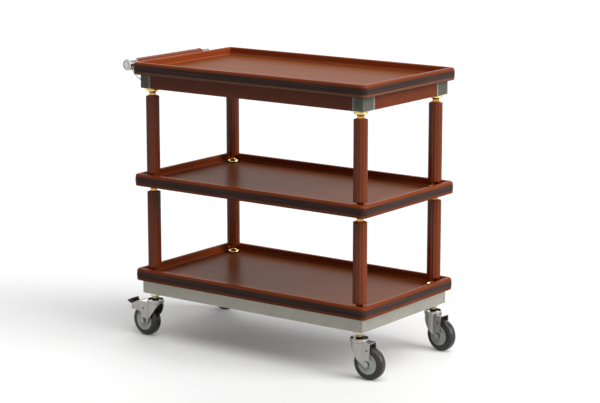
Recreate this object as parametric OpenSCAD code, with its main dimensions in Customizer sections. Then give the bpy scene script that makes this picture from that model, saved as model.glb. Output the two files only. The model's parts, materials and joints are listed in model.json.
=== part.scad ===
// Serving trolley: three framed trays on reeded posts, a push handle and four swivel casters.
// The origin is on the floor under the middle of the trolley's own box. X runs along the trays
// with the handle at the -X end, Y runs across them with the front at -Y, and Z is up.
// A caster is drawn with its stem on the Z axis and its wheel trailing towards +X.

/* [Trays] */
// Length of a tray over its bumper strips
tray_length = 830; // [700:1:1000]
// Width of a tray over its bumper strips
tray_width = 468; // [400:1:560]
// Height of a tray's rim
rim_height = 36; // [35.5:0.5:44]
// Thickness of a rim rail, which is also the radius of a tray's corners
rim_wall = 16; // [14:0.5:20]
// Radius along the outer top edge of a rim
rim_top_round = 8; // [3:0.5:8]
// Radius along the rim's other long edges
rim_edge_round = 3.5; // [2:0.5:4]
// Radius of the cove between a rim and the tray's floor
cove_radius = 6; // [3:0.5:7]
// Thickness of the cove's foot where it ends on the floor
cove_foot = 0.8; // [0.5:0.1:1.5]
// Thickness of a tray's board
board_thickness = 8.5; // [6:0.5:10]
// How far a board's underside lies above the bottom of its rim
board_lift = 5; // [3:0.5:7]
// Depth of the groove that holds a board's edge
board_groove = 7; // [5:0.5:8]
// Thickness of the board's tongue in that groove
board_tongue = 5.5; // [3:0.5:5.5]

/* [Bumper strip] */
// Height of the strip
bumper_height = 19; // [12:0.5:19.5]
// Height of the strip's lower edge above the bottom of the rim
bumper_rise = 8.5; // [6:0.5:9]
// Depth of the groove that the strip sits in
bumper_groove = 3; // [2:0.5:4]
// How far the strip's crown stands out from the wood
bumper_proud = 1; // [0.5:0.5:3]

/* [Posts] */
// Length of a lower post
lower_post_length = 237; // [160:1:320]
// Length of an upper post
upper_post_length = 236; // [160:1:320]
// Diameter of a post over its reeds
post_diameter = 40; // [34:1:44]
// Number of reeds round a post
reed_count = 12; // [8:1:16]
// Radius of one reed
reed_radius = 7; // [6:0.5:9]
// Height of the sloping shoulder at a post's ends
post_shoulder = 3.5; // [2:0.5:6]
// Radius of a post's end faces
post_end_radius = 11; // [10:0.5:14]
// How far a post's axis stands inside the rim's inner face
post_setback = 26.6; // [25:0.1:32]

/* [Brass collars] */
// Height of a collar between a post and a tray
collar_height = 20.9; // [20:0.1:30]
// Radius of the round moulding on a collar
collar_bead_radius = 19.5; // [17:0.5:20]
// Height of the round moulding
collar_bead_height = 8; // [6:0.5:9]
// Radius of the wide plate of a collar that hangs under a tray
collar_plate_radius = 24; // [20:0.5:24]
// Thickness of the wide plate
collar_plate = 2; // [1.5:0.5:3]
// Radius of a collar's neck
collar_neck_radius = 10; // [8:0.5:12]

/* [Tie rods] */
// Diameter of a tie rod
rod_diameter = 8; // [6:0.5:10]
// Radial clearance round a tie rod
rod_clearance = 0.2; // [0.1:0.05:0.5]
// Width of a nut across its corners
nut_width = 15; // [13:0.5:17]
// Thickness of a nut
nut_thickness = 6.5; // [5:0.5:8]
// Depth of the nut's pocket in the top of a corner block
nut_pocket_depth = 9; // [8.5:0.5:12]
// How far a rod stands out past its nuts
rod_end = 1.5; // [0.5:0.5:2]

/* [Apron] */
// Height of the apron that shows below the top tray
apron_height = 40.5; // [34:0.5:60]
// Thickness of an apron board
apron_thickness = 18; // [12:1:24]
// How far the apron's face stands inside the rim's inner face
apron_setback = 2.4; // [1:0.1:6]
// Width of a corner block along X
block_width_x = 36; // [35:1:60]
// Width of a corner block along Y
block_width_y = 56; // [54:1:80]
// Width of the plain strip at the far edge of each fluted face
block_strip = 5.5; // [3:0.5:12]
// Spacing of the flutes on a block's faces
flute_pitch = 3; // [2.5:0.5:6]
// Radius of one flute
flute_radius = 1; // [0.5:0.1:1]

/* [Frame] */
// Height of the frame that shows below the bottom tray
frame_show = 40; // [30:1:60]
// Width of the frame's tubes
frame_tube_width = 40; // [38:1:60]
// Wall of the frame's tubes
frame_tube_wall = 2; // [1.5:0.5:4]
// How far the frame's short sides stand inside the rim's inner face
frame_setback_x = 0.5; // [0.5:0.5:6]
// How far its long sides stand inside the rim's inner face
frame_setback_y = 2; // [0.5:0.5:6]

/* [Handle] */
// Length of the handle over its end caps
handle_length = 377; // [300:1:385]
// Diameter of the wooden bar
handle_diameter = 32; // [26:1:36]
// Distance from the trays' end to the bar's axis
handle_reach = 57; // [45:1:90]
// Length of an end cap
cap_length = 35; // [30:1:45]
// How far an end cap stands out from the bar
cap_proud = 1; // [0.5:0.5:3]
// Radius round a cap's end
cap_round = 3; // [1:0.5:5]
// Distance of the ring groove from a cap's end
cap_groove = 7; // [5:0.5:10]
// Width of that groove
cap_groove_width = 2; // [1:0.5:2]
// Outer radius of the ring recess in a cap's end
cap_recess_radius = 12.5; // [9:0.5:12.5]
// Width of that recess
cap_recess_width = 4; // [2:0.5:5]
// Depth of that recess
cap_recess_depth = 1; // [0.5:0.5:2]
// Radius of the spigot on each end of the bar
spigot_radius = 9; // [6:0.5:10]
// Length of that spigot
spigot_length = 8; // [5:0.5:10]
// Diameter of a handle arm
arm_diameter = 6; // [5:0.5:12]
// Distance of an arm from the handle's end
arm_inset = 18; // [15:1:24]
// Distance from the bar's axis to the end of an arm in its cap
arm_socket = 8.5; // [5:0.5:10]
// Height of an arm's foot above the bottom of the apron
arm_foot_height = 9; // [9:0.5:14]
// Radius of the round foot of an arm
arm_foot_radius = 8; // [6:0.5:9]
// Thickness of that foot
arm_foot = 3; // [2:0.5:6]
// Length of the stud that fastens an arm into a corner block
arm_stud_length = 12; // [8:1:14]
// Radius of that stud
arm_stud_radius = 3; // [2.5:0.5:4]

/* [Casters] */
// Diameter of a wheel
wheel_diameter = 95; // [90:1:125]
// Width of a tyre
tyre_width = 30; // [26:1:34]
// Thickness of a tyre from tread to hub
tyre_thickness = 17.8; // [14:0.1:22]
// Radius of a tyre's shoulders
tyre_shoulder = 11; // [4:0.5:12]
// Distance from a stem's axis to its wheel's axle
trail = 34.5; // [30:0.5:40]
// Diameter of the wheel's axle
axle_diameter = 10; // [8:0.5:12]
// Width across the corners of the axle's head and nut
axle_head_width = 17; // [15:0.5:18]
// Thickness of the axle's head and nut
axle_head = 5; // [4:0.5:7]
// Radius of the hub's middle boss
hub_boss_radius = 12; // [9:0.5:16]
// Depth of the recess between the hub's boss and its outer ring
hub_recess = 2; // [1:0.5:6]
// Thickness of the hub's outer ring
hub_ring = 4; // [3:0.5:7]

/* [Fork] */
// Thickness of the fork's pressed sheet
fork_sheet = 2; // [1.5:0.25:3]
// Gap between the wheel and the fork on each side
fork_side_gap = 1.1; // [0.8:0.1:3]
// Gap between the wheel and the fork's crown
fork_crown_gap = 10; // [8:0.5:14]
// Outer radius of the fork's round skirt
skirt_radius = 24; // [22:0.5:28]
// How far a side plate reaches behind the axle
fork_rear = 10; // [9.5:0.5:16]
// How far a side plate reaches below the axle
fork_toe = 9.5; // [9:0.5:12]
// Radius of the side plate's lower rear corner
fork_toe_round = 8; // [3:0.5:8]
// Radius of the long curve along the fork's leading edge
fork_lead_radius = 210; // [90:5:400]
// Outer radius of the cup round the swivel bearing
cup_radius = 26; // [24.5:0.5:32]
// Height of the cup above the fork's crown
cup_height = 9; // [7:0.5:16]
// Wall of the cup
cup_wall = 2; // [1.5:0.25:3]
// Radius of the hole in each side plate
plate_hole_radius = 2.7; // [1.5:0.1:4]
// Height of that hole above the axle
plate_hole_rise = 38; // [28:1:42]

/* [Caster stem] */
// Length of brass collar that shows between the frame and the cup
stem_show = 21; // [14:0.5:40]
// Diameter of the stem that the fork swivels on
stem_diameter = 12; // [10:0.5:14]
// Radius of the rivet head under the fork's crown
rivet_radius = 10; // [8:0.5:12]
// Thickness of the rivet head
rivet_head = 4; // [3:0.5:4]
// Radius of the bearing race inside the cup
race_radius = 20; // [17:0.5:22]
// Thickness of the bearing race
race_thickness = 4; // [3:0.5:6]
// Radius of the brass collar on the stem
stem_collar_radius = 15; // [12:0.5:18]
// Height of the collar's wide part under the frame
stem_collar_head = 10; // [6:0.5:12]
// Radius along the lower edge of that wide part
stem_collar_round = 2; // [1:0.5:4]
// Radius of the collar's neck, which stands in the cup
stem_neck_radius = 9.5; // [8:0.5:11]
// Width of the stem's nut across its corners
stem_nut_width = 21; // [19:0.5:23]
// Thickness of the stem's nut
stem_nut = 8; // [6:0.5:10]

/* [Brake] */
// Distance of the brake's pivot from the tyre's tread
pivot_gap = 7.6; // [6:0.1:10]
// Angle of the brake's pivot above the level of the axle
pivot_angle = 38.5; // [34:0.5:46]
// Radius of the fork's ears round the pivot
ear_radius = 5; // [4:0.5:7]
// Height of the ears' rear edge above the pivot
ear_rise = 11.5; // [8:0.5:14]
// Height above the axle where the ears' lower edge starts
ear_root_rise = 22.5; // [16:0.5:28]
// Distance from the pivot forward to the bend in the ears' lower edge
ear_low_front = 15.5; // [10:0.5:20]
// Depth of that bend below the pivot
ear_low_drop = 5; // [3:0.5:8]
// Distance from the pivot forward to the bend in the ears' upper edge
ear_bend = 20.5; // [16:0.5:26]
// Radius of the pivot pin
pin_radius = 2.5; // [2:0.1:3]
// How far the pin stands out from the ears
pin_end = 1.5; // [0.5:0.5:3]
// Downward tilt of the pedal at rest
pedal_tilt = 25; // [18:1:30]
// Height of the pedal's tread over the pivot
pedal_top = 26.8; // [24:0.1:30]
// Length of the tread behind the pivot
pedal_back = 15.2; // [12:0.1:24]
// Length of the tread in front of the pivot
pedal_front = 5.6; // [5.4:0.1:8]
// Thickness of the pedal at its tip
pedal_tip = 2.5; // [2:0.5:5]
// Height above the pivot where the pedal's wedge ends in its neck
neck_rise = 8.7; // [8:0.1:14]
// Distance from the pivot to the rear of that neck
neck_back = 2.1; // [1:0.1:6]
// Distance from the pivot to the front of that neck
neck_front = 4; // [2:0.5:4.5]
// Width of the pedal
pedal_width = 28; // [18:1:30]
// Number of grooves across the pedal's tread
tread_grooves = 4; // [2:1:6]
// Radius of one groove
tread_radius = 0.8; // [0.5:0.1:1]
// Radius of the pedal's hub round the pin
cam_radius = 5.2; // [4.5:0.1:5.2]
// Width of the pedal's hub and cam
cam_width = 24; // [12:1:28]
// Angle that the pedal turns to lock
pedal_travel = 20; // [10:1:22]

/* [Headings] */
// Heading of the front left caster, from +X towards +Y
heading_fl = 177.5; // [-180:0.5:180]
// Heading of the front right caster
heading_fr = 2; // [-180:0.5:180]
// Heading of the rear left caster
heading_rl = 182; // [-180:0.5:190]
// Heading of the rear right caster
heading_rr = -9; // [-180:0.5:180]

/* [Fits] */
// Radial clearance of a turning pin or axle in its bore
running_gap = 0.05; // [0.02:0.01:0.08]
// Gap between faces that turn past each other
turning_gap = 0.3; // [0.2:0.1:0.6]
// Gap left for glue round a board or a spigot
glue_gap = 0.2; // [0.1:0.1:0.4]
// Width of a mitre joint between two rails
mitre_gap = 0.1; // [0.05:0.05:0.3]

/* [Hidden] */
$fn = 48;
// Overshoot of a cut past the face that it opens
cut = 1;

wood_length = tray_length - 2 * bumper_proud;
wood_width = tray_width - 2 * bumper_proud;
// Half sizes of the opening between the rims' inner faces, which are the corners' centres
inner_x = wood_length / 2 - rim_wall;
inner_y = wood_width / 2 - rim_wall;
post_x = inner_x - post_setback;
post_y = inner_y - post_setback;
floor_rise = board_lift + board_thickness;

axle_z = wheel_diameter / 2;
hub_radius = axle_z - tyre_thickness;
fork_half = tyre_width / 2 + fork_side_gap + fork_sheet;
crown_low = wheel_diameter + fork_crown_gap;
crown_top = crown_low + fork_sheet;
cup_top = crown_top + cup_height;
frame_low = cup_top + stem_show;
frame_height = frame_show + board_lift;

// Heights of the rims' lower edges and of the pieces between the trays
bottom_z = frame_low + frame_show;
lower_collar_z = bottom_z + floor_rise;
lower_post_z = lower_collar_z + collar_height;
mid_under_z = lower_post_z + lower_post_length + collar_height;
mid_z = mid_under_z - board_lift;
upper_collar_z = mid_z + floor_rise;
upper_post_z = upper_collar_z + collar_height;
apron_z = upper_post_z + upper_post_length + collar_height;
top_z = apron_z + apron_height;
block_height = apron_height + board_lift;

apron_x = inner_x - apron_setback;
apron_y = inner_y - apron_setback;
frame_x = inner_x - frame_setback_x;
frame_y = inner_y - frame_setback_y;

handle_x = tray_length / 2 + handle_reach;
handle_z = top_z + rim_height / 2;
cap_radius = handle_diameter / 2 + cap_proud;
arm_y = handle_length / 2 - arm_inset;
arm_z = apron_z + arm_foot_height;
// An arm leaves its foot level and curves up through the middle of the bar
arm_start = apron_x + arm_foot;
arm_run = handle_x - arm_start;
arm_climb = handle_z - arm_z;
arm_curve = (arm_run * arm_run + arm_climb * arm_climb) / (2 * arm_climb);
arm_sweep = atan2(arm_run, arm_curve - arm_climb) - arm_socket / arm_curve * 180 / PI;

// The trays' middle lies off the origin, so that the whole trolley is centred on it
wheel_end_x = post_x + trail + axle_z;
shift_x = (handle_x + cap_radius - wheel_end_x) / 2;

rod_bore = rod_diameter / 2 + rod_clearance;
rod_low = bottom_z + board_lift - frame_tube_wall - nut_thickness - rod_end;
block_top = apron_z + block_height;
rod_high = block_top - nut_pocket_depth + nut_thickness + rod_end;

axle = [trail, axle_z];
pivot = axle + (axle_z + pivot_gap) * [cos(pivot_angle), sin(pivot_angle)];
// The cam stops just short of the tyre, because both are drawn as rigid
cam_reach = pivot_gap - turning_gap;
stem_collar_low = crown_top + turning_gap + race_thickness;

// Corners in the order front left, front right, rear left, rear right
FL = 0;
FR = 1;
RL = 2;
RR = 3;
CORNERS = [FL, FR, RL, RR];
SIDES = [[-1, -1], [1, -1], [-1, 1], [1, 1]];
HEADINGS = [heading_fl, heading_fr, heading_rl, heading_rr];

// Centre of the circle of radius r through p and q that lies to the left of the way from p to q
function arc_centre(p, q, r) =
    let (chord = q - p, half = norm(chord) / 2, rise = sqrt(r * r - half * half))
    (p + q) / 2 + rise * [-chord[1], chord[0]] / norm(chord);

// Point where a line from p touches the circle of radius r about c, on its right as seen from p
function touch_point(p, c, r) =
    let (way = atan2(c[1] - p[1], c[0] - p[0]) - asin(r / norm(c - p)))
    c + r * [cos(way - 90), sin(way - 90)];

// What a square corner loses to a rounding of radius r, with the corner at +x +y
module corner_loss(r) {
    difference() {
        square(r + cut);
        circle(r);
    }
}

module at_corner(corner) {
    translate([shift_x + SIDES[corner][0] * post_x, SIDES[corner][1] * post_y, 0]) children();
}

module at_corners() {
    for (corner = CORNERS) at_corner(corner) children();
}

module at_caster(corner) {
    at_corner(corner) rotate([0, 0, HEADINGS[corner]]) children();
}

// A flat outline in X and Z, given a width across Y
module across(width) {
    rotate([90, 0, 0]) linear_extrude(width, center = true) children();
}

// Section of a rail: x runs outwards from the rim's inner face, y is the height
module rail_section() {
    difference() {
        square([rim_wall, rim_height]);
        translate([rim_wall - rim_top_round, rim_height - rim_top_round]) corner_loss(rim_top_round);
        translate([rim_wall - rim_edge_round, rim_edge_round]) mirror([0, 1]) corner_loss(rim_edge_round);
        translate([rim_edge_round, rim_height - rim_edge_round]) mirror([1, 0]) corner_loss(rim_edge_round);
        translate([rim_wall - bumper_groove, bumper_rise]) square([bumper_groove + cut, bumper_height]);
        translate([-cut, board_lift]) square([board_groove + cut, board_tongue]);
    }
}

// The cove that a rail turns towards the tray's floor, which it also frames
module cove_section() {
    cove_low = board_lift + board_tongue;
    cove_top = floor_rise + cove_foot + cove_radius;
    difference() {
        translate([-cove_radius, cove_low]) square([cove_radius, cove_top - cove_low]);
        translate([-cove_radius, cove_top]) circle(cove_radius);
    }
}

// Sweeps a section round a tray, straight along the sides and turned about the corners
module around_tray() {
    for (turn = [0, 180]) rotate([0, 0, turn]) {
        translate([-inner_x, -inner_y, 0]) {
            mirror([0, 1, 0]) rotate([90, 0, 90]) linear_extrude(2 * inner_x) children();
            rotate([0, 0, 180]) rotate_extrude(angle = 90) difference() {
                children();
                translate([-tray_width, 0]) square([tray_width, tray_width]);
            }
        }
        translate([inner_x, -inner_y, 0]) {
            rotate([90, 0, 180]) mirror([1, 0, 0]) linear_extrude(2 * inner_y) children();
            rotate([0, 0, -90]) rotate_extrude(angle = 90) difference() {
                children();
                translate([-tray_width, 0]) square([tray_width, tray_width]);
            }
        }
    }
}

// The four rails of a rim, parted by thin mitre joints
module rim(z) {
    reach = 2 * rim_wall;
    color("saddlebrown") translate([shift_x, 0, z]) difference() {
        around_tray() {
            rail_section();
            cove_section();
        }
        for (side = SIDES) translate([side[0] * inner_x, side[1] * inner_y, 0])
            rotate([0, 0, 45 * side[0] * side[1]]) translate([-reach, -mitre_gap / 2, -cut])
                cube([2 * reach, mitre_gap, rim_height + 2 * cut]);
    }
}

// Section of the strip: its crown is one shallow arc
module bumper_section() {
    crown = (bumper_height * bumper_height / 4 + bumper_proud * bumper_proud) / (2 * bumper_proud);
    intersection() {
        translate([rim_wall - bumper_groove, bumper_rise]) square([bumper_groove + bumper_proud, bumper_height]);
        translate([rim_wall + bumper_proud - crown, bumper_rise + bumper_height / 2]) circle(crown, $fn = 180);
    }
}

module bumper(z) {
    color("dimgray") translate([shift_x, 0, z]) around_tray() bumper_section();
}

// A plate with round corners about the origin
module round_plate(half_x, half_y, r, height) {
    linear_extrude(height) {
        square([2 * half_x, 2 * (half_y - r)], center = true);
        square([2 * (half_x - r), 2 * half_y], center = true);
        for (side = SIDES) translate([side[0] * (half_x - r), side[1] * (half_y - r)]) circle(r);
    }
}

// A board with a raised field between the coves and a thinner tongue in the rails' grooves
module board(z, bored) {
    edge = board_groove - glue_gap;
    field_x = inner_x - cove_radius - glue_gap;
    field_y = inner_y - cove_radius - glue_gap;
    color("sienna") difference() {
        translate([shift_x, 0, z + board_lift]) {
            round_plate(inner_x + edge, inner_y + edge, edge, board_tongue);
            translate([-field_x, -field_y, 0]) cube([2 * field_x, 2 * field_y, board_thickness]);
        }
        if (bored) at_corners() translate([0, 0, z]) cylinder(r = rod_bore, h = rim_height);
    }
}

// An apron board along X, centred, with its face at y = 0 looking towards -Y
module apron_board(length) {
    color("saddlebrown") translate([-length / 2, 0, apron_z]) cube([length, apron_thickness, block_height]);
}

module apron_along_x(side) {
    length = 2 * (apron_x - block_width_x);
    translate([shift_x, side * apron_y, 0]) rotate([0, 0, side < 0 ? 0 : 180]) apron_board(length);
}

module apron_along_y(side) {
    length = 2 * (apron_y - block_width_y);
    color("saddlebrown") difference() {
        translate([shift_x + side * apron_x, 0, 0]) rotate([0, 0, side * 90]) apron_board(length);
        arm_stud_holes();
    }
}

// Holes for the handle arms' studs in whatever stands behind the arms' feet
module arm_stud_holes() {
    for (side = [-1, 1]) translate([shift_x - apron_x - cut, side * arm_y, arm_z])
        rotate([0, 90, 0]) cylinder(r = arm_stud_radius + glue_gap, h = arm_stud_length + cut + glue_gap);
}

// Flutes down a face that runs from the corner, at 0, to the plain strip at the face's far edge
module flutes(width) {
    fluted = width - block_strip;
    count = round(fluted / flute_pitch);
    for (i = [1:count]) translate([(i - 1 / 2) * fluted / count, 0]) circle(flute_radius, $fn = 16);
}

// A corner block with its sharp outer corner at the origin and its body towards +X and +Y
module corner_block() {
    difference() {
        linear_extrude(block_height) difference() {
            square([block_width_x, block_width_y]);
            flutes(block_width_x);
            mirror([1, -1]) flutes(block_width_y);
        }
        translate([post_setback - apron_setback, post_setback - apron_setback, -cut]) {
            cylinder(r = rod_bore, h = block_height + 2 * cut);
            translate([0, 0, block_height + cut - nut_pocket_depth])
                cylinder(r = nut_width / 2 + rod_clearance, h = nut_pocket_depth + cut);
        }
    }
}

module apron_corner_blocks() {
    color("darkgray") difference() {
        for (side = SIDES) translate([shift_x + side[0] * apron_x, side[1] * apron_y, apron_z])
            mirror([max(side[0], 0), 0, 0]) mirror([0, max(side[1], 0), 0]) corner_block();
        arm_stud_holes();
    }
}

// A reeded post, drilled for its tie rod
module post(corner, z, length) {
    radius = post_diameter / 2;
    color("sienna") at_corner(corner) translate([0, 0, z]) difference() {
        intersection() {
            linear_extrude(length) {
                circle(radius - reed_radius / 2);
                for (i = [0:reed_count - 1]) rotate(i * 360 / reed_count)
                    translate([radius - reed_radius, 0]) circle(reed_radius);
            }
            rotate_extrude() polygon([
                [0, 0], [post_end_radius, 0], [radius, post_shoulder], [radius + cut, post_shoulder],
                [radius + cut, length - post_shoulder], [radius, length - post_shoulder],
                [post_end_radius, length], [0, length]
            ]);
        }
        translate([0, 0, -cut]) cylinder(r = rod_bore, h = length + 2 * cut);
    }
}

// A turned collar standing on z = 0, with its round moulding at the bottom
module collar(plated) {
    bead_low = plated ? collar_plate : 0;
    bead_top = bead_low + collar_bead_height;
    bead_round = collar_bead_height / 2;
    slope_top = bead_top + collar_bead_radius - bead_round - collar_neck_radius;
    slope_round = collar_bead_radius - bead_round - collar_neck_radius;
    color("gold") difference() {
        rotate_extrude() {
            if (plated) square([collar_plate_radius, collar_plate]);
            translate([0, bead_low]) square([collar_bead_radius - bead_round, collar_bead_height]);
            translate([collar_bead_radius - bead_round, bead_low + bead_round]) circle(bead_round);
            square([collar_neck_radius, collar_height]);
            difference() {
                translate([0, bead_top]) square([collar_neck_radius + slope_round, slope_round]);
                translate([collar_neck_radius + slope_round, slope_top]) circle(slope_round);
            }
        }
        translate([0, 0, -cut]) cylinder(r = rod_bore, h = collar_height + 2 * cut);
    }
}

module collars_standing(z) {
    at_corners() translate([0, 0, z]) collar(false);
}

module collars_hanging(z) {
    at_corners() translate([0, 0, z]) mirror([0, 0, 1]) collar(true);
}

module tie_rods() {
    color("silver") at_corners() translate([0, 0, rod_low]) cylinder(d = rod_diameter, h = rod_high - rod_low);
}

module nut(width, thickness, bore) {
    difference() {
        cylinder(d = width, h = thickness, $fn = 6);
        translate([0, 0, -cut]) cylinder(r = bore, h = thickness + 2 * cut);
    }
}

module tie_rod_nuts() {
    color("silver") at_corners() {
        for (z = [rod_low + rod_end, rod_high - rod_end - nut_thickness])
            translate([0, 0, z]) nut(nut_width, nut_thickness, rod_diameter / 2 + running_gap);
    }
}

// A frame tube along X with its outer face at y = 0, mitred at both ends
module frame_tube(length) {
    intersection() {
        translate([-length / 2, 0, frame_low]) rotate([90, 0, 90]) linear_extrude(length) difference() {
            square([frame_tube_width, frame_height]);
            translate([frame_tube_wall, frame_tube_wall])
                square([frame_tube_width - 2 * frame_tube_wall, frame_height - 2 * frame_tube_wall]);
        }
        linear_extrude(frame_low + frame_height) polygon([
            [-length / 2, 0], [length / 2, 0],
            [length / 2 - frame_tube_width, frame_tube_width], [frame_tube_width - length / 2, frame_tube_width]
        ]);
    }
}

// Holes for the caster stems below and the tie rods above
module frame_holes() {
    at_corners() {
        translate([0, 0, frame_low - cut]) cylinder(r = stem_diameter / 2 + rod_clearance, h = frame_height / 2);
        translate([0, 0, frame_low + frame_height / 2]) cylinder(r = rod_bore, h = frame_height);
    }
}

module frame_along_x(side) {
    color("lightgray") difference() {
        translate([shift_x, side * frame_y, 0]) rotate([0, 0, side < 0 ? 0 : 180]) frame_tube(2 * frame_x);
        frame_holes();
    }
}

module frame_along_y(side) {
    color("lightgray") difference() {
        translate([shift_x + side * frame_x, 0, 0]) rotate([0, 0, side * 90]) frame_tube(2 * frame_y);
        frame_holes();
    }
}

module at_handle() {
    translate([shift_x - handle_x, 0, handle_z]) children();
}

module handle_bar() {
    length = handle_length - 2 * cap_length;
    color("sienna") at_handle() rotate([90, 0, 0]) {
        cylinder(d = handle_diameter, h = length, center = true);
        cylinder(r = spigot_radius, h = length + 2 * spigot_length, center = true);
    }
}

// The curved part of an arm, or the same curve fatter for its socket
module arm_curve_solid(side, radius) {
    translate([shift_x - arm_start, side * arm_y, arm_z + arm_curve]) rotate([90, 0, 0]) rotate([0, 0, -90 - arm_sweep])
        rotate_extrude(angle = arm_sweep) translate([arm_curve, 0]) circle(radius);
}

// A turned end cap with a ring round its end, bored for the spigot and the arm
module handle_cap(side) {
    color("silver") difference() {
        at_handle() translate([0, side * (handle_length / 2 - cap_length), 0]) rotate([side * -90, 0, 0]) {
            difference() {
                rotate_extrude() difference() {
                    square([cap_radius, cap_length]);
                    translate([cap_radius - cap_round, cap_length - cap_round]) corner_loss(cap_round);
                    translate([cap_radius, cap_length - cap_groove]) circle(cap_groove_width / 2);
                    translate([cap_recess_radius - cap_recess_width, cap_length - cap_recess_depth])
                        square([cap_recess_width, cap_recess_depth + cut]);
                }
                translate([0, 0, -cut]) cylinder(r = spigot_radius + glue_gap, h = spigot_length + glue_gap + cut);
            }
        }
        arm_curve_solid(side, arm_diameter / 2 + glue_gap);
    }
}

module handle_arm(side) {
    color("silver") {
        arm_curve_solid(side, arm_diameter / 2);
        translate([shift_x - apron_x, side * arm_y, arm_z]) rotate([0, -90, 0]) {
            cylinder(r = arm_foot_radius, h = arm_foot);
            translate([0, 0, -arm_stud_length]) cylinder(r = arm_stud_radius, h = arm_stud_length + arm_foot);
        }
    }
}

// A fixed stem: the rivet head below the fork's crown, the race in the cup and the shank in the frame
module caster_stems() {
    shank_low = crown_low - turning_gap - rivet_head;
    shank_high = frame_low + frame_tube_wall + stem_nut + rod_end;
    color("silver") at_corners() {
        translate([0, 0, shank_low]) {
            cylinder(r = rivet_radius, h = rivet_head);
            cylinder(d = stem_diameter, h = shank_high - shank_low);
        }
        translate([0, 0, crown_top + turning_gap]) cylinder(r = race_radius, h = race_thickness);
    }
}

module stem_nuts() {
    color("silver") at_corners() translate([0, 0, frame_low + frame_tube_wall])
        nut(stem_nut_width, stem_nut, stem_diameter / 2 + running_gap);
}

// A turned brass collar from the race up to the frame, with a round-edged head under the frame
module caster_collars() {
    height = frame_low - stem_collar_low;
    head_low = height - stem_collar_head;
    color("gold") at_corners() translate([0, 0, stem_collar_low]) difference() {
        rotate_extrude() {
            square([stem_neck_radius, height]);
            difference() {
                translate([0, head_low]) square([stem_collar_radius, stem_collar_head]);
                translate([stem_collar_radius - stem_collar_round, head_low + stem_collar_round])
                    mirror([0, 1]) corner_loss(stem_collar_round);
            }
        }
        translate([0, 0, -cut]) cylinder(r = stem_diameter / 2 + rod_clearance, h = height + 2 * cut);
    }
}

// Plan of the fork: a round skirt about the stem, with two flat side plates behind it
module fork_plan(inset) {
    circle(skirt_radius - inset);
    translate([0, inset - fork_half]) square([trail + fork_rear + (inset > 0 ? cut : 0), 2 * (fork_half - inset)]);
}

// Side view of the fork below its crown
module fork_side() {
    nose = [fork_sheet - skirt_radius, crown_low];
    toe = [trail - fork_toe, axle_z - fork_toe];
    rear = trail + fork_rear;
    intersection() {
        translate(arc_centre(nose, toe, fork_lead_radius)) circle(fork_lead_radius, $fn = 360);
        union() {
            translate([-skirt_radius - cut, toe[1] + fork_toe_round])
                square([rear + skirt_radius + cut, crown_top - toe[1] - fork_toe_round]);
            translate([-skirt_radius - cut, toe[1]])
                square([rear + skirt_radius + cut - fork_toe_round, crown_top - toe[1]]);
            translate([rear - fork_toe_round, toe[1] + fork_toe_round]) circle(fork_toe_round);
        }
    }
}

// Side view of the ears that carry the brake's pivot
module ear_side() {
    root = [trail + fork_rear - fork_sheet, axle_z + ear_root_rise];
    low = pivot - [ear_low_front, ear_low_drop];
    polygon([
        root, low, touch_point(low, pivot, ear_radius), pivot, pivot + [ear_radius, 0],
        pivot + [ear_radius, ear_rise], [pivot[0] - ear_bend, crown_low], [root[0], crown_top]
    ]);
    translate(pivot) circle(ear_radius);
}

module fork(corner, braked) {
    toe_z = axle_z - fork_toe;
    color("gainsboro") at_caster(corner) difference() {
        union() {
            intersection() {
                translate([0, 0, toe_z]) linear_extrude(crown_low - toe_z) difference() {
                    fork_plan(0);
                    fork_plan(fork_sheet);
                }
                across(2 * skirt_radius + cut) fork_side();
            }
            translate([0, 0, crown_low]) linear_extrude(fork_sheet) fork_plan(0);
            translate([0, 0, crown_low]) difference() {
                rotate_extrude() {
                    translate([0, cup_wall]) square([cup_radius, cup_top - crown_low - cup_wall]);
                    square([cup_radius - cup_wall, cup_wall]);
                    translate([cup_radius - cup_wall, cup_wall]) circle(cup_wall);
                }
                translate([0, 0, fork_sheet]) cylinder(r = cup_radius - cup_wall, h = cup_height + cut);
            }
            if (braked) for (side = [-1, 1]) translate([0, side * (fork_half - fork_sheet / 2), 0])
                across(fork_sheet) ear_side();
        }
        translate([0, 0, crown_low - cut]) cylinder(r = stem_diameter / 2 + running_gap, h = fork_sheet + 2 * cut);
        across(2 * skirt_radius) translate(axle) circle(axle_diameter / 2 + running_gap);
        across(2 * skirt_radius) translate(axle + [0, plate_hole_rise]) circle(plate_hole_radius);
        if (braked) across(2 * skirt_radius) translate(pivot) circle(pin_radius + running_gap);
    }
}

// The axle bolt with its head on one side and a nut on the other
module axle_bolt(corner) {
    color("silver") at_caster(corner) translate([axle[0], 0, axle[1]]) rotate([90, 0, 0]) {
        translate([0, 0, fork_half]) cylinder(d = axle_head_width, h = axle_head, $fn = 6);
        translate([0, 0, -fork_half - axle_head - rod_end])
            cylinder(d = axle_diameter, h = 2 * fork_half + axle_head + rod_end + cut);
        translate([0, 0, -fork_half - axle_head]) nut(axle_head_width, axle_head, axle_diameter / 2 + running_gap);
    }
}

module at_axle(corner) {
    at_caster(corner) translate([axle[0], 0, axle[1]]) rotate([90, 0, 0]) children();
}

module hub(corner) {
    boss_half = tyre_width / 2 + fork_side_gap - turning_gap;
    web_half = tyre_width / 2 - hub_recess;
    color("slategray") at_axle(corner) difference() {
        rotate_extrude() {
            translate([0, -boss_half]) square([hub_boss_radius, 2 * boss_half]);
            translate([0, -web_half]) square([hub_radius, 2 * web_half]);
            translate([hub_radius - hub_ring, -tyre_width / 2]) square([hub_ring, tyre_width]);
        }
        cylinder(r = axle_diameter / 2 + running_gap, h = 2 * fork_half, center = true);
    }
}

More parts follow.
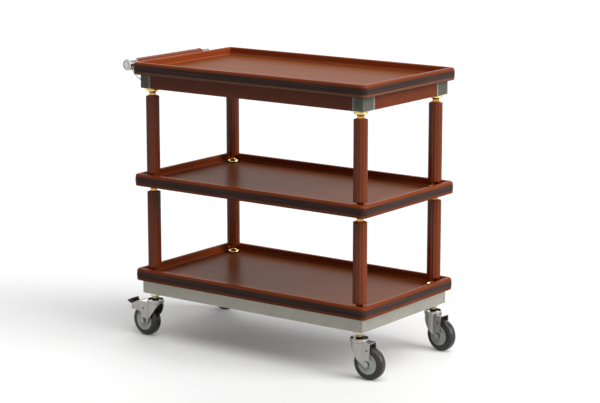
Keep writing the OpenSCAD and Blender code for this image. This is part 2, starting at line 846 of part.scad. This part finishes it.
module tyre(corner) {
    bead = hub_radius + running_gap;
    straight = tyre_width - 2 * tyre_shoulder;
    color("dimgray") at_axle(corner) rotate_extrude($fn = 96) intersection() {
        translate([bead, -tyre_width / 2]) square([axle_z - bead, tyre_width]);
        union() {
            translate([0, -tyre_width / 2]) square([axle_z - tyre_shoulder, tyre_width]);
            translate([0, -straight / 2]) square([axle_z, straight]);
            for (side = [-1, 1]) translate([axle_z - tyre_shoulder, side * straight / 2]) circle(tyre_shoulder);
        }
    }
}

// Side view of the pedal's wedge, with the pivot at the origin and the tread along x
module pedal_side() {
    spacing = (pedal_front + pedal_back) / (tread_grooves + 1);
    difference() {
        polygon([
            [-pedal_front, pedal_top], [-pedal_front, neck_rise], [neck_back, neck_rise],
            [pedal_back, pedal_top - pedal_tip], [pedal_back, pedal_top]
        ]);
        for (i = [1:tread_grooves]) translate([i * spacing - pedal_front, pedal_top]) circle(tread_radius);
    }
}

// Side view of the pedal's neck, its hub on the pin and the cam over the tyre
module pedal_core() {
    neck_top = neck_rise + tread_radius;
    rotate(-pedal_tilt)
        polygon([[-neck_front, 0], [neck_front, 0], [neck_back - tread_radius, neck_top], [-neck_front, neck_top]]);
    circle(cam_radius);
    rotate(180 + pivot_angle + pedal_travel) translate([cam_reach - cam_radius / 2, 0]) circle(cam_radius / 2);
}

// A pedal between the ears: a wedge and, narrower, its neck, hub and cam
module brake_pedal(corner) {
    color("black") at_caster(corner) translate([pivot[0], 0, pivot[1]]) difference() {
        union() {
            across(pedal_width) rotate(-pedal_tilt) pedal_side();
            across(cam_width) pedal_core();
        }
        across(pedal_width) circle(pin_radius + running_gap);
    }
}

module brake_pin(corner) {
    color("silver") at_caster(corner) translate([pivot[0], 0, pivot[1]])
        across(2 * (fork_half + pin_end)) circle(pin_radius);
}

board(top_z, false);  // top_board
board(mid_z, true);  // mid_board
board(bottom_z, true);  // bottom_board
rim(top_z);  // top_rim
rim(mid_z);  // mid_rim
rim(bottom_z);  // bottom_rim
bumper(top_z);  // top_bumper
bumper(mid_z);  // mid_bumper
bumper(bottom_z);  // bottom_bumper
apron_along_x(-1);  // apron_front
apron_along_x(1);  // apron_rear
apron_along_y(-1);  // apron_left
apron_along_y(1);  // apron_right
apron_corner_blocks();
post(FL, upper_post_z, upper_post_length);  // upper_post_fl
post(FR, upper_post_z, upper_post_length);  // upper_post_fr
post(RL, upper_post_z, upper_post_length);  // upper_post_rl
post(RR, upper_post_z, upper_post_length);  // upper_post_rr
post(FL, lower_post_z, lower_post_length);  // lower_post_fl
post(FR, lower_post_z, lower_post_length);  // lower_post_fr
post(RL, lower_post_z, lower_post_length);  // lower_post_rl
post(RR, lower_post_z, lower_post_length);  // lower_post_rr
collars_hanging(apron_z);  // collars_under_apron
collars_standing(upper_collar_z);  // collars_on_mid_tray
collars_hanging(mid_under_z);  // collars_under_mid_tray
collars_standing(lower_collar_z);  // collars_on_bottom_tray
caster_collars();
tie_rods();
tie_rod_nuts();
frame_along_x(-1);  // frame_front
frame_along_x(1);  // frame_rear
frame_along_y(-1);  // frame_left
frame_along_y(1);  // frame_right
handle_bar();
handle_cap(-1);  // handle_cap_front
handle_cap(1);  // handle_cap_rear
handle_arm(-1);  // handle_arm_front
handle_arm(1);  // handle_arm_rear
caster_stems();
stem_nuts();
fork(FL, true);  // fork_fl
fork(FR, false);  // fork_fr
fork(RL, true);  // fork_rl
fork(RR, false);  // fork_rr
axle_bolt(FL);  // axle_fl
axle_bolt(FR);  // axle_fr
axle_bolt(RL);  // axle_rl
axle_bolt(RR);  // axle_rr
hub(FL);  // hub_fl
hub(FR);  // hub_fr
hub(RL);  // hub_rl
hub(RR);  // hub_rr
tyre(FL);  // tyre_fl
tyre(FR);  // tyre_fr
tyre(RL);  // tyre_rl
tyre(RR);  // tyre_rr
brake_pedal(FL);  // brake_pedal_fl
brake_pedal(RL);  // brake_pedal_rl
brake_pin(FL);  // brake_pin_fl
brake_pin(RL);  // brake_pin_rl
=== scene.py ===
"""Looks of the serving trolley: lacquered mahogany, brass, satin metal and rubber in a white studio."""

import json
from math import cos, pi, radians, sin

import bpy
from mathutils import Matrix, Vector


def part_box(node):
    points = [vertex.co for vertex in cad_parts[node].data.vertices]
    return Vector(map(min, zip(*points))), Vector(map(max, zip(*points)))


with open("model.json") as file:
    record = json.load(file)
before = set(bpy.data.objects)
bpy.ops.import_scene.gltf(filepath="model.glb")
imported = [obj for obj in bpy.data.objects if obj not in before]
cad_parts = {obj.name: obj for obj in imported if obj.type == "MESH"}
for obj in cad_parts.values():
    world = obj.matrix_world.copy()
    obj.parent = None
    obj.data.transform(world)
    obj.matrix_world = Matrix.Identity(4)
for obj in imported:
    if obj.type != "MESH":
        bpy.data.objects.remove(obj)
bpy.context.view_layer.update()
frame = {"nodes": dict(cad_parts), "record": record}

# Axes, for the direction of a grain
X, Y, Z = 0, 1, 2

WHITE = (1.0, 1.0, 1.0)


def half_size(box):
    """Half of a box's size along each axis."""
    low, high = box
    return (high - low) / 2


def middle(box):
    low, high = box
    return (high + low) / 2


def tones(colour, spread):
    """A darker and a lighter neighbour of a colour."""
    return tuple(v * (1 - spread) for v in colour), tuple(min(1.0, v * (1 + spread)) for v in colour)


def grey(value):
    return (value, value, value)


# The trays' middle along X; along Y it is 0
board_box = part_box("top_board")
tray_x = middle(board_box).x


class Graph:
    """Builds one material's or the world's nodes with short calls."""

    def __init__(self, tree, output):
        self.tree = tree
        self.tree.nodes.clear()
        self.out = self.add(output)

    def add(self, kind, **values):
        node = self.tree.nodes.new(kind)
        for key, value in values.items():
            setattr(node, key, value)
        return node

    def link(self, source, target):
        self.tree.links.new(source, target)

    def feed(self, socket, value):
        """Links a socket, or sets a plain value."""
        if isinstance(value, bpy.types.NodeSocket):
            self.link(value, socket)
        elif socket.type == "RGBA":
            socket.default_value = (*value, 1.0)
        else:
            socket.default_value = value

    def fill(self, node, **values):
        """Feeds sockets by name, with _ for a space."""
        for key, value in values.items():
            self.feed(node.inputs[key.replace("_", " ")], value)
        return node

    # Numbers

    def math(self, operation, a, b=0.0, c=0.0):
        node = self.add("ShaderNodeMath", operation=operation)
        for socket, value in zip(node.inputs, (a, b, c)):
            self.feed(socket, value)
        return node.outputs[0]

    def times(self, a, b):
        return self.math("MULTIPLY", a, b)

    def span(self, value, low, high):
        """Maps 0..1 to low..high."""
        return self.math("MULTIPLY_ADD", value, high - low, low)

    def blend(self, a, b, share):
        """A share of the second value and the rest of the first."""
        return self.math("ADD", self.times(a, 1 - share), self.times(b, share))

    def offset(self, value, centre):
        """How far a coordinate lies from a centre, on either side."""
        return self.math("ABSOLUTE", self.math("SUBTRACT", value, centre))

    # Coordinates

    def coords(self):
        return self.add("ShaderNodeTexCoord").outputs["Object"]

    def split(self, vector):
        return self.fill(self.add("ShaderNodeSeparateXYZ"), Vector=vector).outputs

    def join(self, x, y, z):
        return self.fill(self.add("ShaderNodeCombineXYZ"), X=x, Y=y, Z=z).outputs[0]

    def scaled(self, vector, x, y, z):
        return self.fill(self.add("ShaderNodeMapping"), Vector=vector, Scale=(x, y, z)).outputs[0]

    def along(self, vector, axis, stretch):
        """Draws a pattern out along one axis, by making that coordinate smaller."""
        scale = [1.0, 1.0, 1.0]
        scale[axis] = stretch
        return self.scaled(vector, *scale)

    # Patterns and colours

    def noise(self, vector, scale, detail, rough=0.5, distortion=0.0):
        node = self.add("ShaderNodeTexNoise")
        self.fill(node, Vector=vector, Scale=scale, Detail=detail, Roughness=rough, Distortion=distortion)
        return node.outputs["Fac"]

    def ramp(self, fac, *stops):
        """Colours by value: each stop is a place and a colour."""
        node = self.fill(self.add("ShaderNodeValToRGB"), Fac=fac)
        elements = node.color_ramp.elements
        while len(elements) < len(stops):
            elements.new(0.5)
        for element, (place, colour) in zip(elements, stops):
            element.position = place
            element.color = (*colour, 1.0)
        return node.outputs[0]

    def mix(self, fac, a, b, blend="MIX"):
        node = self.add("ShaderNodeMix", data_type="RGBA", blend_type=blend)
        self.fill(node, Factor=fac, A=a, B=b)
        return node.outputs["Result"]

    def tint(self, colour, tone, amount=1.0):
        return self.mix(amount, colour, tone, "MULTIPLY")

    def recess(self, distance):
        """1 on open surfaces, less where other surfaces stand within a distance."""
        return self.fill(self.add("ShaderNodeAmbientOcclusion", samples=8), Distance=distance).outputs["AO"]

    def plain_rays(self):
        """1 for the rays that show the background: camera, glossy and transmission."""
        path = self.add("ShaderNodeLightPath").outputs
        direct = self.math("MAXIMUM", path["Is Camera Ray"], path["Is Glossy Ray"])
        return self.math("MAXIMUM", direct, path["Is Transmission Ray"])

    # Surfaces

    def bump(self, height, distance, strength, edge=0.0):
        """A fine relief, over edges that are rounded by a small radius."""
        node = self.fill(self.add("ShaderNodeBump"), Height=height, Distance=distance, Strength=strength)
        if edge:
            rounded = self.fill(self.add("ShaderNodeBevel", samples=4), Radius=edge)
            self.link(rounded.outputs[0], node.inputs["Normal"])
        return node.outputs[0]

    def shader(self, **values):
        node = self.fill(self.add("ShaderNodeBsdfPrincipled"), **values)
        self.link(node.outputs[0], self.out.inputs["Surface"])


def new_material(name):
    material = bpy.data.materials.new(name)
    material.use_nodes = True
    return material, Graph(material.node_tree, "ShaderNodeOutputMaterial")


# How far the short rails' pattern is moved, so that it differs from the long rails'
TURN_SHIFT = 3.7


def rail_space(g):
    """Coordinates whose x runs along each rail of a tray, with the turn on the corners' mitres."""
    x, y, z = g.split(g.coords())
    board = half_size(board_box)
    past_mitre = g.math("SUBTRACT", g.offset(x, tray_x), g.offset(y, 0.0))
    on_short_rail = g.math("GREATER_THAN", past_mitre, board.x - board.y)
    along_x = g.join(x, y, z)
    along_y = g.join(y, g.math("ADD", x, TURN_SHIFT), z)
    return g.mix(on_short_rail, along_x, along_y)


# Wood: dark, middle and light, for rails, apron and handle, for posts, and for tray floors; the posts'
# tones are the rails' made lighter, as painted light on the posts
MAHOGANY = ((0.185, 0.034, 0.008), (0.235, 0.046, 0.011), (0.285, 0.059, 0.014))
LIT_POST_MAHOGANY = ((0.200, 0.037, 0.009), (0.254, 0.050, 0.012), (0.308, 0.064, 0.016))
TRAY_MAHOGANY = ((0.193, 0.048, 0.010), (0.215, 0.056, 0.013), (0.237, 0.064, 0.016))

# How wide each pattern is across the grain, as a share of its length
FIGURE_STRETCH = 0.045
FINE_STRETCH = 0.02
PORE_STRETCH = 0.03

# The rims' inner faces lie this far in from the outside, and are made lighter by this much, as painted
# light
INNER_FACE = 0.0152
INNER_PAINTED_LIGHT = (1.3, 1.35, 1.45)

# The lower bead of the top tray's rim: its height, its pale tone, which is a painted reflection of the
# floor, and how much of that tone shows
LOWER_BEAD = 0.009
BEAD_PAINTED_REFLECTION = (0.245, 0.105, 0.062)
BEAD_REFLECTION_SHARE = 0.8


def rails_painted_light(g, colour):
    """Painted light on the rails: the inner faces made lighter, and the top tray's lower bead made pale by
    a painted reflection.
    """
    rim_low, rim_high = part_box("top_rim")
    rim = half_size((rim_low, rim_high))
    x, y, z = g.split(g.coords())
    inside_x = g.math("COMPARE", x, tray_x, rim.x - INNER_FACE)
    inside_y = g.math("COMPARE", y, 0.0, rim.y - INNER_FACE)
    # Painted light: the rails' inner faces lightened
    colour = g.mix(g.times(inside_x, inside_y), colour, g.tint(colour, INNER_PAINTED_LIGHT))
    # Painted reflection: the top tray's lower bead made pale
    bead = g.math("COMPARE", z, rim_low.z + LOWER_BEAD / 2, LOWER_BEAD / 2)
    return g.mix(g.times(bead, BEAD_REFLECTION_SHARE), colour, BEAD_PAINTED_REFLECTION)


def wood(name, shades, axis=X, coat=0.25, coat_rough=0.12, rails=False):
    """Lacquered mahogany with its grain along an axis, or along each rail of the trays' rims."""
    material, g = new_material(name)
    dark, middling, light = shades
    vector = rail_space(g) if rails else g.coords()
    figured = g.along(vector, axis, FIGURE_STRETCH)
    broad = g.noise(figured, scale=9.0, detail=3.0, distortion=0.6)
    bands = g.noise(figured, scale=38.0, detail=5.0, rough=0.62, distortion=0.9)
    fine = g.noise(g.along(vector, axis, FINE_STRETCH), scale=230.0, detail=3.0, rough=0.6)
    pores = g.noise(g.along(vector, axis, PORE_STRETCH), scale=620.0, detail=1.0)
    figure = g.blend(broad, bands, share=0.58)
    colour = g.ramp(figure, (0.30, dark), (0.5, middling), (0.70, light))
    streaks = g.ramp(fine, (0.35, (0.80, 0.78, 0.76)), (0.62, WHITE))
    colour = g.tint(colour, streaks, amount=0.55)
    dots = g.ramp(pores, (0.24, (0.62, 0.55, 0.5)), (0.36, WHITE))
    colour = g.tint(colour, dots, amount=0.5)
    if rails:
        # On the rails, painted light and a painted reflection are laid on the wood's colour
        colour = rails_painted_light(g, colour)
    relief = g.blend(pores, fine, share=0.6)
    g.shader(
        Base_Color=colour,
        Roughness=g.span(fine, 0.36, 0.50),
        Specular_IOR_Level=0.0,
        Coat_Weight=coat,
        Coat_Roughness=coat_rough,
        Coat_IOR=1.5,
        Normal=g.bump(relief, distance=0.00012, strength=0.35),
    )
    return material


# The collars' necks lie within this radius of the posts' axes, where they get a painted shade
NECK_RADIUS = 0.0115


def brass(name, dark, bright, neck_painted_shade):
    """Turned and polished brass: fine rings about the upright axis, with a painted shade on the necks, as a
    painted dark reflection, and in the recesses.
    """
    material, g = new_material(name)
    vector = g.coords()
    x, y, _ = g.split(vector)
    post = middle(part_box("upper_post_fr"))
    from_x = g.math("SUBTRACT", g.offset(x, tray_x), post.x - tray_x)
    from_y = g.math("SUBTRACT", g.offset(y, 0.0), abs(post.y))
    radius = g.math("SQRT", g.math("ADD", g.times(from_x, from_x), g.times(from_y, from_y)))
    neck = g.math("LESS_THAN", radius, NECK_RADIUS)
    cloud = g.noise(vector, scale=60.0, detail=3.0, rough=0.6)
    rings = g.noise(g.scaled(vector, 0.2, 0.2, 6.0), scale=260.0, detail=2.0)
    polished = g.ramp(cloud, (0.3, dark), (0.7, bright))
    # Painted shade: the collars' necks darkened, standing for a dark reflection of the wood about them
    polished = g.mix(neck, polished, g.tint(polished, neck_painted_shade))
    # Painted shade: darker where other surfaces stand close, in the recesses
    brass_painted_shade = g.ramp(g.recess(0.015), (0.25, (0.30, 0.15, 0.06)), (0.60, WHITE))
    g.shader(
        Base_Color=g.tint(polished, brass_painted_shade),
        Metallic=1.0,
        Roughness=g.span(rings, 0.08, 0.20),
        Normal=g.bump(rings, distance=0.00004, strength=0.3),
    )
    return material


# The radius that the render gives to the sharp edges of metal, rubber and plastic
SOFT_EDGE = 0.0006


def metal(
    name, colour, rough, metallic=1.0, spread=0.1, axis=Z, grain=300.0, relief=0.3, edge=SOFT_EDGE,
    specular=0.5, shade_reach=0.006,
):
    """Satin, painted or plated metal: fine lines along an axis, faint clouds, and a painted shade in the
    recesses.
    """
    material, g = new_material(name)
    vector = g.coords()
    lines = g.noise(g.along(vector, axis, FINE_STRETCH), scale=grain, detail=3.0, rough=0.6)
    cloud = g.noise(vector, scale=14.0, detail=4.0, rough=0.6)
    low, high = tones(colour, spread=0.08)
    shade = g.ramp(cloud, (0.3, low), (0.7, high))
    worn = g.ramp(lines, (0.3, grey(0.8)), (0.7, WHITE))
    # Painted shade: darker where other surfaces stand close, in the recesses
    metal_painted_shade = g.ramp(g.recess(shade_reach), (0.45, (0.12, 0.12, 0.11)), (0.85, WHITE))
    g.shader(
        Base_Color=g.tint(g.tint(shade, worn, amount=0.25), metal_painted_shade),
        Metallic=metallic,
        Roughness=g.span(lines, rough - spread / 2, rough + spread / 2),
        Specular_IOR_Level=specular,
        Normal=g.bump(lines, distance=0.00005, strength=relief, edge=edge),
    )
    return material


# Corner blocks: their widths, and those of the plain strips and of the corner line with its painted
# highlight
BLOCK_WIDTH_X = 0.036
BLOCK_WIDTH_Y = 0.056
BLOCK_STRIP = 0.0055
BLOCK_CORNER_HIGHLIGHT = 0.0016


def panelled_aluminium(name, dark, bright):
    """The corner blocks: brushed upright, with the ribbed panels darker than the strips beside them as a
    painted shade of their flutes, and a painted highlight on the corner line.
    """
    material, g = new_material(name)
    vector = g.coords()
    blocks = half_size(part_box("apron_corner_blocks"))
    x, y, _ = g.split(vector)
    from_end = g.math("SUBTRACT", blocks.x, g.offset(x, tray_x))
    from_side = g.math("SUBTRACT", blocks.y, g.offset(y, 0.0))
    # Painted shade on the ribbed panels, lighter strips beside them, and a painted highlight on the corner
    # line
    strip_x = g.math("GREATER_THAN", from_end, BLOCK_WIDTH_X - BLOCK_STRIP)
    strip_y = g.math("GREATER_THAN", from_side, BLOCK_WIDTH_Y - BLOCK_STRIP)
    corner_highlight = g.math("LESS_THAN", g.math("MAXIMUM", from_end, from_side), BLOCK_CORNER_HIGHLIGHT)
    strips_and_highlight = g.math("MAXIMUM", corner_highlight, g.math("MAXIMUM", strip_x, strip_y))
    lines = g.noise(g.along(vector, Z, FINE_STRETCH), scale=420.0, detail=3.0, rough=0.6)
    cloud = g.noise(vector, scale=20.0, detail=4.0, rough=0.6)
    low, high = tones(dark, spread=0.15)
    panel = g.ramp(cloud, (0.3, low), (0.7, high))
    worn = g.ramp(lines, (0.3, grey(0.7)), (0.7, WHITE))
    g.shader(
        Base_Color=g.tint(g.mix(strips_and_highlight, panel, bright), worn, amount=0.4),
        Metallic=0.05,
        Roughness=g.span(lines, 0.30, 0.46),
        Specular_IOR_Level=0.12,
        Normal=g.bump(lines, distance=0.00006, strength=0.35, edge=SOFT_EDGE),
    )
    return material


def matte(name, colour, rough, scale=420.0, specular=0.3):
    """Rubber and moulded plastic: a fine even texture and faint clouds."""
    material, g = new_material(name)
    vector = g.coords()
    fine = g.noise(vector, scale=scale, detail=3.0, rough=0.6)
    cloud = g.noise(vector, scale=18.0, detail=4.0, rough=0.6)
    low, high = tones(colour, spread=0.12)
    g.shader(
        Base_Color=g.ramp(cloud, (0.3, low), (0.7, high)),
        Roughness=g.span(fine, rough - 0.06, rough + 0.06),
        Specular_IOR_Level=specular,
        Normal=g.bump(fine, distance=0.00008, strength=0.25, edge=SOFT_EDGE),
    )
    return material


def streaked_rubber(name, colour):
    """The trays' dark brown strip: extruded rubber with faint streaks along each rail."""
    material, g = new_material(name)
    vector = rail_space(g)
    streaks = g.noise(g.along(vector, X, stretch=0.03), scale=160.0, detail=4.0, rough=0.65)
    cloud = g.noise(g.along(vector, X, stretch=0.4), scale=12.0, detail=3.0)
    low, high = tones(colour, spread=0.45)
    shade = g.ramp(streaks, (0.34, low), (0.66, high))
    worn = g.ramp(cloud, (0.3, (0.85, 0.84, 0.83)), (0.7, WHITE))
    g.shader(
        Base_Color=g.tint(shade, worn, amount=0.8),
        Roughness=g.span(streaks, 0.34, 0.5),
        Specular_IOR_Level=0.09,
        Normal=g.bump(streaks, distance=0.00008, strength=0.3),
    )
    return material


# One finish for each of the record's material slots
finishes = {
    "tray_wood": wood("tray_mahogany", TRAY_MAHOGANY, coat=0.17, coat_rough=0.32),
    "rim_wood": wood("rim_mahogany", MAHOGANY, coat=0.18, rails=True),
    "apron_wood": wood("apron_mahogany", MAHOGANY),
    # The posts' mahogany is the rails' made lighter, as painted light
    "post_wood": wood("lit_post_mahogany", LIT_POST_MAHOGANY, axis=Z, coat=0.36),
    "handle_wood": wood("handle_mahogany", MAHOGANY, axis=Y),
    "bumper_rubber": streaked_rubber("bumper_rubber", (0.060, 0.031, 0.025)),
    "corner_aluminium": panelled_aluminium(
        "panelled_aluminium", dark=(0.26, 0.26, 0.225), bright=(0.46, 0.46, 0.41)
    ),
    "brass": brass(
        "polished_brass", dark=(0.84, 0.62, 0.22), bright=(0.95, 0.77, 0.34), neck_painted_shade=(0.55, 0.38, 0.26)
    ),
    "steel": metal("plated_steel", (0.35, 0.35, 0.33), rough=0.20),
    "frame_metal": metal(
        "satin_frame", (0.42, 0.402, 0.342), rough=0.42, metallic=0.50, axis=X, specular=0.2
    ),
    "handle_chrome": metal(
        "bright_chrome", (0.52, 0.52, 0.50), rough=0.09, spread=0.06, grain=120.0, relief=0.05, edge=0.0,
        shade_reach=0.012,
    ),
    "fork_zinc": metal(
        "zinc_plate", (0.43, 0.415, 0.38), rough=0.25, metallic=0.75, spread=0.14, grain=90.0
    ),
    "hub_plastic": matte("hub_plastic", (0.72, 0.765, 0.745), rough=0.40, specular=0.5),
    "tyre_rubber": matte("tyre_rubber", (0.028, 0.024, 0.021), rough=0.24, scale=300.0, specular=0.45),
    "pedal_plastic": matte("pedal_plastic", (0.018, 0.018, 0.018), rough=0.45, scale=700.0),
}

# The collars on the caster stems are paler than the posts'
pale_brass = brass(
    "pale_brass", dark=(0.62, 0.51, 0.30), bright=(0.71, 0.64, 0.46), neck_painted_shade=(0.45, 0.43, 0.42)
)

for part in frame["record"]["subparts"]:
    finish = pale_brass if part["node"] == "caster_collars" else finishes[part["material_slot"]]
    materials = frame["nodes"][part["node"]].data.materials
    materials.clear()
    materials.append(finish)

# Floor: its size, its tones as seen and for bounced light, the change over its paper, and its own glow
FLOOR_SIZE = 60.0
FLOOR_SEEN = 0.86
FLOOR_BOUNCE = 0.18
FLOOR_CHANGE = 0.01
FLOOR_LIFT = 0.10

# World: its strength as light, and as seen, where a height is the upward part of a direction
WORLD_LIGHT = 0.16
WALL_HEIGHT = 0.45
CEILING_HEIGHT = 0.80
CEILING_GREY = 0.25

# Camera: its place from the trays' middle on the floor, its direction in degrees, and its focal length
# in millimetres, all found from the long straight edges of the trays and the frame in the photograph
CAMERA_PLACE = Vector((3.4323, -4.6527, 1.5976))
CAMERA_AZIMUTH = -53.7969
CAMERA_ELEVATION = 11.4446
FOCAL_LENGTH = 120.41
CAMERA_REACH = 200.0


def studio_floor():
    """A floor that is white where it is lit and keeps the object's shadow."""
    half = FLOOR_SIZE / 2
    corners = [(-half, -half, 0), (half, -half, 0), (half, half, 0), (-half, half, 0)]
    mesh = bpy.data.meshes.new("studio_floor")
    mesh.from_pydata(corners, [], [(0, 1, 2, 3)])
    material, g = new_material("studio_floor")
    plain = g.plain_rays()
    paper = g.noise(g.coords(), scale=3.0, detail=3.0)
    seen = g.ramp(paper, (0.3, grey(FLOOR_SEEN)), (0.7, grey(FLOOR_SEEN + FLOOR_CHANGE)))
    colour = g.mix(plain, grey(FLOOR_BOUNCE), seen)
    diffuse = g.fill(g.add("ShaderNodeBsdfDiffuse"), Color=colour)
    lift = g.fill(g.add("ShaderNodeEmission"), Strength=g.times(plain, FLOOR_LIFT))
    both = g.add("ShaderNodeAddShader")
    g.link(diffuse.outputs[0], both.inputs[0])
    g.link(lift.outputs[0], both.inputs[1])
    g.link(both.outputs[0], g.out.inputs["Surface"])
    mesh.materials.append(material)
    floor = bpy.data.objects.new("studio_floor", mesh)
    bpy.context.scene.collection.objects.link(floor)


def studio_world():
    """As light: even and soft. Seen: white up to well above the horizon, and dim overhead."""
    world = bpy.data.worlds.new("studio")
    world.use_nodes = True
    bpy.context.scene.world = world
    g = Graph(world.node_tree, "ShaderNodeOutputWorld")
    light = g.fill(g.add("ShaderNodeBackground"), Color=WHITE, Strength=WORLD_LIGHT)
    height = g.split(g.add("ShaderNodeTexCoord").outputs["Generated"])[Z]
    walls = g.ramp(height, (WALL_HEIGHT, WHITE), (CEILING_HEIGHT, grey(CEILING_GREY)))
    seen = g.fill(g.add("ShaderNodeBackground"), Color=walls, Strength=1.0)
    pick = g.add("ShaderNodeMixShader")
    g.link(g.plain_rays(), pick.inputs["Fac"])
    g.link(light.outputs[0], pick.inputs[1])
    g.link(seen.outputs[0], pick.inputs[2])
    g.link(pick.outputs[0], g.out.inputs["Surface"])


def aimed(name, data, azimuth, elevation):
    """Adds a lamp or camera that looks back from a direction: degrees from +X towards +Y, and up."""
    level = cos(radians(elevation))
    way = Vector((level * cos(radians(azimuth)), level * sin(radians(azimuth)), sin(radians(elevation))))
    placed = bpy.data.objects.new(name, data)
    placed.rotation_euler = way.to_track_quat("Z", "Y").to_euler()
    bpy.context.scene.collection.objects.link(placed)
    return placed


def soft_sun(name, azimuth, elevation, angle, strength):
    """A wide soft light, where a strength of 1 shows a colour as it is written."""
    light = bpy.data.lights.new(name, "SUN")
    light.angle = radians(angle)
    light.energy = strength * pi
    aimed(name, light, azimuth, elevation)


def photo_camera():
    """The photograph's viewpoint."""
    lens = bpy.data.cameras.new("photo_camera")
    lens.lens = FOCAL_LENGTH
    lens.sensor_width = 36.0
    lens.clip_end = CAMERA_REACH
    camera = aimed("photo_camera", lens, CAMERA_AZIMUTH, CAMERA_ELEVATION)
    camera.location = CAMERA_PLACE + Vector((tray_x, 0.0, 0.0))
    bpy.context.scene.camera = camera


studio_floor()
studio_world()
soft_sun("top_light", azimuth=-30, elevation=68, angle=50, strength=0.52)
soft_sun("side_light", azimuth=12, elevation=28, angle=45, strength=0.70)
soft_sun("back_light", azimuth=120, elevation=25, angle=60, strength=0.40)
photo_camera()
bpy.context.scene.view_settings.view_transform = "Standard"
